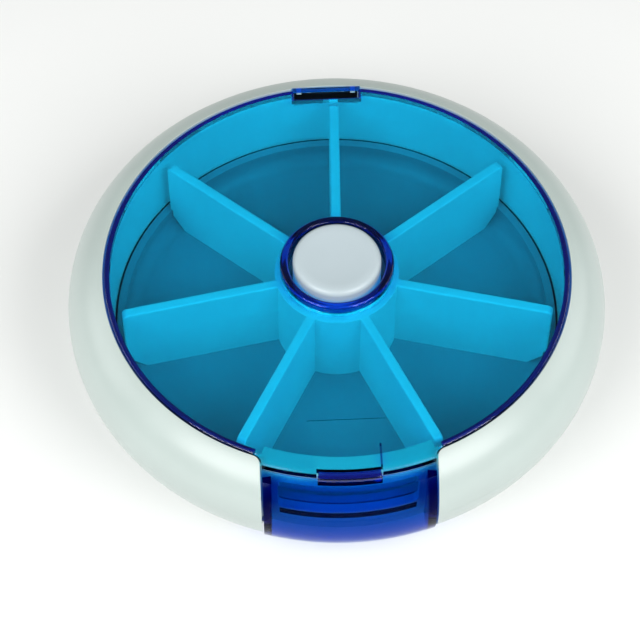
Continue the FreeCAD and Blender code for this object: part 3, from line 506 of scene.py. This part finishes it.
def onRimOrBay(place):
    s = crownSet
    reach = place.xy.length
    onBay = onBaySide(place) and reach > s["bayFrom"]
    return place.z > s["upperFrom"] and reach > s["rimFrom"] and (place.z > s["rimAbove"] or onBay)


def cutCrownRear(crown):
    # relief, window and pocket of the hinge, and the shell's hollow, which darkens the slot; its faces also
    # get painted shade later
    s = crownSet
    for name, half, inner, outer, low, high in (
            ("reliefCutter", s["reliefHalf"], s["reliefInner"], s["reliefOuter"],
             s["seat"] + s["reliefLift"], s["reliefHigh"]),
            ("windowCutter", s["windowHalf"], s["reliefInner"], s["reliefOuter"],
             s["windowLow"], s["windowHigh"]),
            ("pocketCutter", s["pocketHalf"], s["pocketInner"], s["pocketOuter"],
             s["pocketLow"], s["pocketHigh"])):
        cutAway(crown, slab(name, rectangle(-half, half, inner, outer), low, high))
    hollow = rectangle(s["hollowInner"], s["hollowOuter"], s["hollowLow"], s["hollowHigh"])
    cutAway(crown, lathe("hollowCutter", hollow, steps=s["partSteps"], turn=s["hollowTurn"], middle=90.0))


def addClaws(crown):
    # two claws that hold the lid's hinge bar
    s = crownSet
    outline = rectangle(s["clawInner"], s["reliefOuter"] + s["clawRoot"], s["clawLow"], s["clawHigh"])
    for side in (-1, 1):
        left = side * s["clawSpread"] - s["clawWidth"] / 2
        claw = sideSlab("claw", outline, left, left + s["clawWidth"])
        cutAway(claw, rod("clawSocket", s["barReach"], s["barHeight"], s["socketRadius"],
                          left - s["socketBefore"], left + s["socketAfter"]))
        joinOn(crown, claw)


def buildCrown():
    crown = crownShell()
    cutCrownFront(crown)
    roundEdges(crown, shellSet["edgeRound"], shellSet["edgeSegments"], onRimOrBay)
    roundEdges(crown, shellSet["seamRound"], shellSet["seamSegments"], onSeam)
    cutCrownRear(crown)
    addClaws(crown)
    return crown


def paintCrown(crown):
    # painted light and shade: the chamber's wall gets the wheel's brighter white as painted light; the wall
    # in the tray's gap, the hollow and the gutter get a dark grey as painted shade
    s = crownSet
    slack = s["slack"]
    # painted light: the same white case, given the wheel's lighter white inside the chamber
    crown.data.materials.append(wheelWhite)
    # painted shade, index 2: a dark grey where the case lies deep in shade
    crown.data.materials.append(paintedShade)
    for face in crown.data.polygons:
        reach = inMm(face.center.xy.length)
        height = inMm(face.center.z)
        inHollow = height < s["hollowHigh"] + slack and reach < s["hollowOuter"] + slack
        inPocket = height < s["pocketHigh"] + slack and reach < s["pocketOuter"] + slack
        behind = inMm(face.center.y) > s["reliefInner"] and reach > s["pocketInner"]
        inSlot = behind and height > s["hollowLow"] - slack and (inHollow or inPocket)
        underLedge = face.center.y < 0 and s["gutterLow"] - slack < height < s["gutterHigh"] + slack
        inGutter = underLedge and s["gutterInner"] - slack < reach < s["wallOuter"] - slack
        onWall = reach < s["wallInner"] + s["wallSlack"] and height < s["seat"] - slack
        # the gutter and the hinge slot's faces get painted shade
        if inGutter or inSlot:
            face.material_index = 2
        # the chamber's wall: painted light above the tray's rim, painted shadow in the gap below it
        elif onWall and abs(face.normal.z) < s["upright"]:
            face.material_index = 1 if height > s["gapTop"] else 2


crown = buildCrown()
finishPiece(crown, "case", "case_white", caseWhite, "upper_case")
paintCrown(crown)

# white case, lower shell
bowlSet = {
    "footInner": 33.1, "footOuter": 35.5, "footHeight": 0.8,
    "footRound": 0.3, "footSegments": 3, "footSlack": 0.05,
    "tuckCentre": (35.4, 16.5), "tuckRadius": 12.6, "tuckAngle": 50.0, "tuckSteps": 16, "slopeFoot": 36.29,
    "wellRadius": 41.7, "wellKnee": 7.72, "floorEdge": 35.62, "floor": 2.6,
    "railInner": 18.4, "railOuter": 20.0, "railTop": 5.6,
    "bearingInner": 8.3, "bearingOuter": 9.5, "bearingTop": 6.8, "bossTop": 5.0,
    "screwHole": 1.15, "headHole": 2.15, "headTop": 2.0,
    "postHalf": 4.55, "postSink": 0.8, "postHigh": 8.0,
    "indexPlace": (24.0, 18.85), "indexRadius": 2.4, "indexSides": 36, "indexBite": 0.5, "indexTop": 3.5,
    "indexHole": 1.05, "indexHoleLow": 2.7, "indexHoleHigh": 10.0,
    "bayRadius": 41.6, "bayBelow": 16.3, "bayBefore": -41.5,
    "pivotReach": -40.8, "pivotHeight": 9.0, "pivotRadius": 0.68, "pivotDepth": 1.08, "pivotSpare": 1.0,
}


def bowlShell():
    s = bowlSet
    profile = [(s["screwHole"], s["headTop"]), (s["headHole"], s["headTop"]),
               (s["headHole"], s["footHeight"]), (s["footInner"], s["footHeight"]),
               (s["footInner"], 0), (s["footOuter"], 0),
               (s["footOuter"], s["footHeight"]), (s["slopeFoot"], s["footHeight"])]
    profile += arcRun(s["tuckCentre"], s["tuckRadius"], -s["tuckAngle"], 0, s["tuckSteps"])
    profile += [(s["wellRadius"], shellSet["seamHeight"]), (s["wellRadius"], s["wellKnee"]),
                (s["floorEdge"], s["floor"]),
                (s["railOuter"], s["floor"]), (s["railOuter"], s["railTop"]),
                (s["railInner"], s["railTop"]), (s["railInner"], s["floor"]),
                (s["bearingOuter"], s["floor"]), (s["bearingOuter"], s["bearingTop"]),
                (s["bearingInner"], s["bearingTop"]), (s["bearingInner"], s["bossTop"]),
                (s["screwHole"], s["bossTop"])]
    return lathe("caseBowl", profile)


def onBowlBay(place):
    return onBaySide(place) and place.z < bowlSet["bayBelow"] and place.y < bowlSet["bayBefore"]


def onFoot(place):
    return place.z < bowlSet["footSlack"]


def buildBowl():
    s = bowlSet
    bowl = bowlShell()
    cutAway(bowl, frontBay(s["bayRadius"]))
    roundEdges(bowl, shellSet["edgeRound"], shellSet["edgeSegments"], onBowlBay)
    roundEdges(bowl, shellSet["seamRound"], shellSet["seamSegments"], onSeam)
    roundEdges(bowl, s["footRound"], s["footSegments"], onFoot)
    half = s["postHalf"]
    recess = rectangle(-half, half, -half, half)
    cutAway(bowl, slab("postRecess", recess, s["bossTop"] - s["postSink"], s["postHigh"]))
    for side in (-1, 1):
        near = side * (shellSet["bayHalf"] - s["pivotSpare"])
        far = side * (shellSet["bayHalf"] + s["pivotDepth"])
        cutAway(bowl, rod("pivotHole", s["pivotReach"], s["pivotHeight"], s["pivotRadius"],
                          min(near, far), max(near, far)))
    boss = slab("indexBoss", circleRun(s["indexPlace"], s["indexRadius"], s["indexSides"]),
                s["floor"] - s["indexBite"], s["indexTop"])
    hole = circleRun(s["indexPlace"], s["indexHole"])
    cutAway(boss, slab("bossHole", hole, s["indexHoleLow"], s["indexHoleHigh"]))
    joinOn(bowl, boss)
    return bowl


finishPiece(buildBowl(), "case", "case_white", caseWhite, "lower_case")

# clear blue lid: a pale plate, a bead round its edge and slot in a denser dye that paints them navy as shade,
# and a collar
lidSet = {
    "radius": 41.0, "under": 24.4, "top": 26.0, "slack": 0.05, "seam": 0.02, "cutLow": 20.0, "cutHigh": 30.0,
    "beadWidth": 0.95, "beadRound": 0.35, "beadSegments": 4, "beadEnd": -67.2, "beadGap": 0.03,
    "beadFrom": 40.9, "beadSlack": 0.02, "beadSteps": 96,
    "collarOuter": 10.05, "collarInner": 8.6, "collarTop": 27.4, "collarRound": 0.5,
    "collarArc": 6, "collarSteps": 120,
    "lipHalf": 14.6, "lipReach": 42.5, "lipRound": 1.9, "lipSteps": 12, "lipBefore": -37.4, "lipFrom": 5.7,
    "lipEdge": 1.25, "lipSegments": 6, "underRound": 0.15, "underSegments": 3,
    "notchHalf": 5.55, "notchRadius": 41.6, "notchSteps": 10,
    "slitWidth": 0.3, "slitLength": 4.9, "slitLine": 4.2,
    "panelHalf": 6.7, "panelReach": 31.2, "panelFront": -45.0, "panelDepth": 0.15,
    "slotHalf": 6.0, "slotInner": 38.4, "slotFrame": 0.42,
    "barReach": 40.55, "barHeight": 25.8, "barRadius": 0.45, "barHalf": 6.2,
}


def lipFront():
    # front run of the plate, from left to right: lip, latch notch and its right slit
    s = lidSet
    lipSide = math.degrees(math.asin(s["lipHalf"] / s["lipReach"]))
    notchSide = math.degrees(math.asin(s["notchHalf"] / s["lipReach"]))
    slitInner = s["notchHalf"] - s["slitWidth"]
    slitEnd = s["slitLength"] - s["notchRadius"]
    leftLip = arcRun((0, 0), s["lipReach"], -90 - lipSide, -90 - notchSide, s["lipSteps"])
    corner = (-s["notchHalf"], -math.sqrt(s["notchRadius"] ** 2 - s["notchHalf"] ** 2))
    slitLip = leftLip + [(-s["notchHalf"], slitEnd), (-slitInner, slitEnd)]
    latch = frontArc(slitInner, s["notchRadius"], s["notchSteps"])
    return leftLip + [corner] + latch + mirrored(slitLip)  # the left slit is too tight to show


def slitEdge():
    # a sliver in the right slit, joined to the bead, whose denser dye paints the slit as one navy line of
    # shade
    s = lidSet
    inner = s["notchHalf"] - s["slitWidth"] + s["seam"]
    end = s["slitLength"] - s["notchRadius"] - s["seam"]
    line = rectangle(inner, s["notchHalf"] - s["seam"], end - s["slitLine"], end)
    return slab("slitEdge", line, s["under"], s["top"])


def edgeRun(radius, end, half, inner):
    # right half of a line round the lid, from beside the lip to the inner corner of the hinge slot
    slotSide = math.degrees(math.acos(half / radius))
    return arcRun((0, 0), radius, end, slotSide, lidSet["beadSteps"]) + [(half, inner)]


def onLip(place):
    return place.y < lidSet["lipBefore"] and abs(place.x) > lidSet["lipFrom"]


def onTop(place):
    return place.z > lidSet["top"] - lidSet["slack"]


def onUnder(place):
    return place.z < lidSet["under"] + lidSet["slack"]


def onBead(place):
    s = lidSet
    inSlot = abs(place.x) < s["slotHalf"] + s["beadSlack"] and place.y > s["slotInner"] - s["beadSlack"]
    return onTop(place) and (place.xy.length > s["beadFrom"] or inSlot)


def buildPlate():
    s = lidSet
    flare = flareArc(s["lipHalf"], s["radius"], s["lipRound"])
    border = s["slotFrame"] + s["seam"]
    end = s["beadEnd"] - s["beadGap"]
    angle = math.radians(end)
    right = [(s["radius"] * math.cos(angle), s["radius"] * math.sin(angle))]
    plateRadius = s["radius"] - s["beadWidth"] - s["seam"]
    right += edgeRun(plateRadius, end, s["slotHalf"] + border, s["slotInner"] - border)
    outline = flare + lipFront() + mirrored(flare) + right + mirrored(right)
    plate = slab("clearLid", outline, s["under"], s["top"])
    roundEdges(plate, s["lipEdge"], s["lipSegments"], lambda place: onTop(place) and onLip(place))
    roundEdges(plate, s["underRound"], s["underSegments"], lambda place: onUnder(place) and onLip(place))
    hole = circleRun((0, 0), s["collarOuter"] + s["seam"], s["collarSteps"])
    cutAway(plate, slab("collarHole", hole, s["cutLow"], s["cutHigh"]))
    near = s["notchHalf"] - s["slitWidth"] / 2
    panel = [(-s["panelHalf"], -s["panelReach"]), (-near, s["panelFront"]),
             (near, s["panelFront"]), (s["panelHalf"], -s["panelReach"])]
    cutAway(plate, slab("panelCutter", panel, s["cutLow"], s["under"] + s["panelDepth"]))
    return plate


def buildBead():
    s = lidSet
    outside = edgeRun(s["radius"], s["beadEnd"], s["slotHalf"], s["slotInner"])
    inside = edgeRun(s["radius"] - s["beadWidth"], s["beadEnd"], s["slotHalf"] + s["slotFrame"],
                     s["slotInner"] - s["slotFrame"])
    outline = outside + mirrored(outside) + [(-x, y) for x, y in inside] + list(reversed(inside))
    bead = slab("lidBead", outline, s["under"], s["top"])
    roundEdges(bead, s["beadRound"], s["beadSegments"], onBead)
    joinOn(bead, rod("hingeBar", s["barReach"], s["barHeight"], s["barRadius"], -s["barHalf"], s["barHalf"]))
    joinOn(bead, slitEdge())
    return bead


def buildCollar():
    s = lidSet
    crest = s["collarTop"] - s["collarRound"]
    profile = [(s["collarInner"], s["under"]), (s["collarOuter"], s["under"])]
    profile += arcRun((s["collarOuter"] - s["collarRound"], crest), s["collarRound"], 0, 90, s["collarArc"])
    profile += arcRun((s["collarInner"] + s["collarRound"], crest), s["collarRound"], 90, 180, s["collarArc"])
    return lathe("lidCollar", profile, steps=s["collarSteps"])


finishPiece(buildPlate(), "lid", "lid_blue", lidBlue, "lid")
finishPiece(buildBead(), "lid", "lid_blue", navyShadeBlue, "lid")
finishPiece(buildCollar(), "lid", "lid_blue", collarBlue, "lid")

# clear blue front hatch
hatchSet = {
    "half": 14.6, "wall": 1.6, "thinning": 6.0, "top": 24.0, "bottom": 8.0, "back": 42.3, "middle": 16.5,
    "crownReach": 37.915, "crownRadius": 10.085, "tuckReach": 32.3, "tuckRadius": 15.7, "arcSteps": 14,
    "turn": 46.0, "turnSteps": 40, "pivot": (-40.8, 9.0), "ear": 1.0, "earSteps": 8,
    "pin": 0.6, "pinHalf": 20.0,
    "cheek": 1.5, "cheekFront": -47.2, "cheekInset": 0.4, "cheekCut": (60.0, 4.0, 25.5), "cheekTurn": 60.0,
    "trimOuter": 40.0, "trimFront": -60.0, "trimBack": -30.0, "trimLow": 0.0, "trimHigh": 40.0,
    "edgeRound": 0.4, "edgeSegments": 4, "edgeFrom": 44.2, "edgeBelow": 24.1,
    "tabTurn": 14.3, "tabSteps": 16, "tabInner": 41.85, "tabOuter": 43.35, "tabLow": 24.55, "tabTop": 25.7,
    "tabRoot": 43.6, "tabRound": 0.25, "tabSegments": 3, "tabSlack": 0.05, "seam": 0.02,
}


def hatchFace(inset, low, high, thinning=0.0):
    # outer face of the hatch, moved in, from one height up to another; a flatter tuck thins the wall
    s = hatchSet
    middle = s["middle"]
    lower = s["tuckRadius"] - inset + thinning
    upper = s["crownRadius"] - inset
    fromLow = math.degrees(math.asin((low - middle) / lower))
    toHigh = math.degrees(math.asin((high - middle) / upper))
    tuck = arcRun((s["tuckReach"] - thinning, middle), lower, fromLow, 0, s["arcSteps"])
    return tuck + arcRun((s["crownReach"], middle), upper, 0, toHigh, s["arcSteps"])[1:]


def hatchCheek(left):
    # side wall with a round ear at the pivot, trimmed to lie inside the outer face
    s = hatchSet
    y, z = s["pivot"]
    ear = arcRun((y, z), s["ear"], -90, 90, s["earSteps"])
    outline = [(s["cheekFront"], s["bottom"])] + ear + [(y, s["top"]), (s["cheekFront"], s["top"])]
    cheek = sideSlab("cheek", outline, left, left + s["cheek"])
    reach, low, high = s["cheekCut"]
    outer = hatchFace(s["cheekInset"], low, high) + [(reach, high), (reach, low)]
    cutAway(cheek, lathe("outsideCutter", outer, steps=s["turnSteps"], turn=s["cheekTurn"]))
    return cheek


def onHatchEdge(place):
    return place.xy.length > hatchSet["edgeFrom"] and place.z < hatchSet["edgeBelow"]


def onTabTop(place):
    return place.z > hatchSet["tabTop"] - hatchSet["tabSlack"]


def buildHatch():
    s = hatchSet
    outside = hatchFace(0, s["bottom"], s["top"])
    innerRadius = s["crownRadius"] - s["wall"]
    innerTop = s["middle"] + math.sqrt(innerRadius ** 2 - (s["back"] - s["crownReach"]) ** 2)
    inside = hatchFace(s["wall"], s["bottom"], innerTop, s["thinning"])
    profile = outside + [(s["back"], s["top"])] + list(reversed(inside))
    hatch = lathe("clearHatch", profile, steps=s["turnSteps"], turn=s["turn"])
    for side in (-1, 1):
        joinOn(hatch, hatchCheek(side * s["half"] - (s["cheek"] if side > 0 else 0)))
        near, far = sorted((side * s["half"], side * s["trimOuter"]))
        trim = rectangle(near, far, s["trimFront"], s["trimBack"])
        cutAway(hatch, slab("sideTrim", trim, s["trimLow"], s["trimHigh"]))
    roundEdges(hatch, s["edgeRound"], s["edgeSegments"], onHatchEdge)
    cutAway(hatch, rod("pinHole", *s["pivot"], s["pin"], -s["pinHalf"], s["pinHalf"]))
    return hatch


def buildTab():
    # finger tab on the hatch's top, in the bead's denser dye, which paints it navy as shade
    s = hatchSet
    root = s["top"] + s["seam"]
    profile = [(s["tabRoot"], root), (s["tabOuter"], s["tabTop"]), (s["tabInner"], s["tabTop"]),
               (s["tabInner"], s["tabLow"]), (s["back"], s["tabLow"]), (s["back"], root)]
    tab = lathe("hatchTab", profile, steps=s["tabSteps"], turn=s["tabTurn"])
    roundEdges(tab, s["tabRound"], s["tabSegments"], onTabTop)
    return tab


finishPiece(buildHatch(), "hatch", "hatch_blue", hatchBlue, "front_hatch")
finishPiece(buildTab(), "hatch", "hatch_blue", navyShadeBlue, "front_hatch")

# seven-vane divider star
starSet = {
    "count": 7, "turn": -2.1, "wall": 1.75, "floor": 7.3, "top": 23.7, "hubOuter": 11.0, "hubInner": 9.6,
    "hubSteps": 140, "spigot": 10.3, "bottom": 5.9, "rootBite": 0.7,
    "coveEnd": 35.3, "coveTop": 10.2, "inner": 38.0,
    "overRim": 11.6, "edge": 38.6, "cornerRound": 1.0, "cornerSteps": 6,
    "edgeRound": 0.5, "edgeSegments": 3, "edgeAbove": 11.7, "edgeFrom": 11.2,
}


def onVaneEdge(place):
    return place.z > starSet["edgeAbove"] and place.xy.length > starSet["edgeFrom"]


def buildStar():
    s = starSet
    hub = [(s["hubInner"], s["bottom"]), (s["spigot"], s["bottom"]), (s["spigot"], s["floor"]),
           (s["hubOuter"], s["floor"]), (s["hubOuter"], s["top"]), (s["hubInner"], s["top"])]
    star = lathe("vaneStar", hub, steps=s["hubSteps"])
    root = s["hubOuter"] - s["rootBite"]
    corner = arcRun((s["edge"] - s["cornerRound"], s["top"] - s["cornerRound"]), s["cornerRound"],
                    0, 90, s["cornerSteps"])
    side = [(root, s["floor"]), (s["coveEnd"], s["floor"]), (s["inner"], s["coveTop"]),
            (s["inner"], s["overRim"]), (s["edge"], s["overRim"])] + corner + [(root, s["top"])]
    vane = sideSlab("vane", side, -s["wall"] / 2, s["wall"] / 2)
    for index in range(s["count"]):
        pick(vane)
        bpy.ops.object.duplicate()
        copy = bpy.context.object
        turn = math.radians(s["turn"] + index * 360 / s["count"])
        bpy.ops.transform.rotate(value=-turn, orient_axis="Z", center_override=(0, 0, 0))
        bpy.ops.object.transform_apply(location=True, rotation=True, scale=True)
        joinOn(star, copy)
    bpy.data.objects.remove(vane, do_unlink=True)
    roundEdges(star, s["edgeRound"], s["edgeSegments"], onVaneEdge)
    return star


finishPiece(buildStar(), "wheel", "wheel_white", wheelWhite, "divider_star")

# push button, its top dished inside a flat rim
buttonSet = {
    "radius": 7.8, "top": 28.5, "skirt": 22.8, "inner": 6.6, "under": 26.0, "edgeRound": 1.0, "edgeSteps": 8,
    "rimWidth": 0.7, "dish": 0.45, "dishSteps": 12, "turnSteps": 96,
}


def buildButton():
    s = buttonSet
    flat = s["radius"] - s["edgeRound"]
    ring = flat - s["rimWidth"]
    profile = [(0, s["under"]), (s["inner"], s["under"]), (s["inner"], s["skirt"]), (s["radius"], s["skirt"])]
    profile += arcRun((flat, s["top"] - s["edgeRound"]), s["edgeRound"], 0, 90, s["edgeSteps"])
    for step in range(s["dishSteps"] + 1):
        share = 1 - step / s["dishSteps"]
        profile.append((ring * share, s["top"] - s["dish"] * (1 - share ** 2)))
    return lathe("pushButton", profile, steps=s["turnSteps"], closed=False)


finishPiece(buildButton(), "button", "button_white", buttonWhite, "button_cap")

# return spring, between the case and the button
coilSet = {"radius": 3.3, "wire": 0.7, "turns": 8, "sides": 12, "stepsPerTurn": 28}


def buildCoil(low, high):
    s = coilSet
    ring = circleRun((s["radius"], low), s["wire"] / 2, s["sides"])
    coil = traceOutline("returnCoil", [(x, 0, z) for x, z in ring])
    pick(coil)
    step = coil.modifiers.new("wind", "SCREW")
    step.axis = "Z"
    step.iterations = s["turns"]
    step.screw_offset = mm(high - low) / s["turns"]
    step.steps = s["stepsPerTurn"]
    step.render_steps = s["stepsPerTurn"]
    bpy.ops.object.modifier_apply(modifier=step.name)
    bpy.ops.object.mode_set(mode="EDIT")
    bpy.ops.mesh.select_all(action="SELECT")
    bpy.ops.mesh.fill_holes(sides=0)
    tidyMesh(coil)
    return coil


coilLow, coilHigh = [inMm(corner.z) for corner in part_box("return_spring")]
coil = buildCoil(coilLow + coilSet["wire"] / 2, coilHigh - coilSet["wire"] / 2)
dressPiece(coil, "spring_steel", springSteel, "return_spring")
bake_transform(coil)

# pieces shown as the frame gives them
frameDress = {
    # the tray takes the greyer white, painted shade on its floors
    "wheel_tray": trayShadedWhite, "ratchet_ring": wheelWhite,
    "drive_rotor": driveAcetal, "pawl_ring": driveAcetal, "button_plunger": driveAcetal,
    "centre_post": driveAcetal, "spring_seat": driveAcetal,
    "index_spring": springSteel, "hatch_pins": pinSteel,
    "centre_screw": screwSteel, "index_screw": screwSteel,
}
for node, material in frameDress.items():
    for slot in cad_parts[node].material_slots:
        slot.material = material
print("frame pieces dressed")

# pale floor and four soft boxes
studioSet = {
    "floorSize": 4000.0, "floorDrop": 0.02, "floorColour": "#E0E0DF",
    "floorGlow": 0.25, "floorRoughness": 0.9,
    "worldColour": "#E6F2EC", "worldPower": 0.18, "aim": (0.0, 0.0, 10.0),
    "frontBox": (310.0, 310.0, 440.0), "frontSize": 360.0, "frontPower": 2.5,
    "sideBox": (520.0, -140.0, 260.0), "sideSize": 320.0, "sidePower": 0.6,
}


def softBox(name, place, size, power):
    data = bpy.data.lights.new(name, "AREA")
    data.shape = "SQUARE"
    data.size = mm(size)
    data.energy = power
    light = bpy.data.objects.new(name, data)
    bpy.context.scene.collection.objects.link(light)
    light.location = Vector([mm(v) for v in place])
    heading = Vector([mm(v) for v in studioSet["aim"]]) - light.location
    light.rotation_mode = "QUATERNION"
    light.rotation_quaternion = heading.to_track_quat("-Z", "Y")


def lightStudio():
    s = studioSet
    world = bpy.data.worlds.new("paleStudio")
    bpy.context.scene.world = world
    world.use_nodes = True
    ground = world.node_tree.nodes["Background"]
    ground.inputs["Color"].default_value = linearColour(s["worldColour"])
    ground.inputs["Strength"].default_value = s["worldPower"]
    aside, before, above = s["frontBox"]
    softBox("frontLeftBox", (-aside, -before, above), s["frontSize"], s["frontPower"])
    softBox("frontRightBox", (aside, -before, above), s["frontSize"], s["frontPower"])
    aside, before, above = s["sideBox"]
    softBox("leftBox", (-aside, -before, above), s["sideSize"], s["sidePower"])
    softBox("rightBox", (aside, -before, above), s["sideSize"], s["sidePower"])


def layFloor():
    # opal acrylic, faintly lit from below
    s = studioSet
    clearSelection()
    bpy.ops.mesh.primitive_plane_add(size=mm(s["floorSize"]), location=(0, 0, -mm(s["floorDrop"])))
    floor = bpy.context.object
    floor.name = "studioFloor"
    material, tree, shader = newMaterial("paleLightTable")
    shader.inputs["Base Color"].default_value = linearColour(s["floorColour"])
    shader.inputs["Roughness"].default_value = s["floorRoughness"]
    shader.inputs["Emission Color"].default_value = linearColour(s["floorColour"])
    shader.inputs["Emission Strength"].default_value = s["floorGlow"]
    floor.data.materials.append(material)


lightStudio()
layFloor()
bpy.context.scene.view_settings.view_transform = "Standard"
print("studio lit")
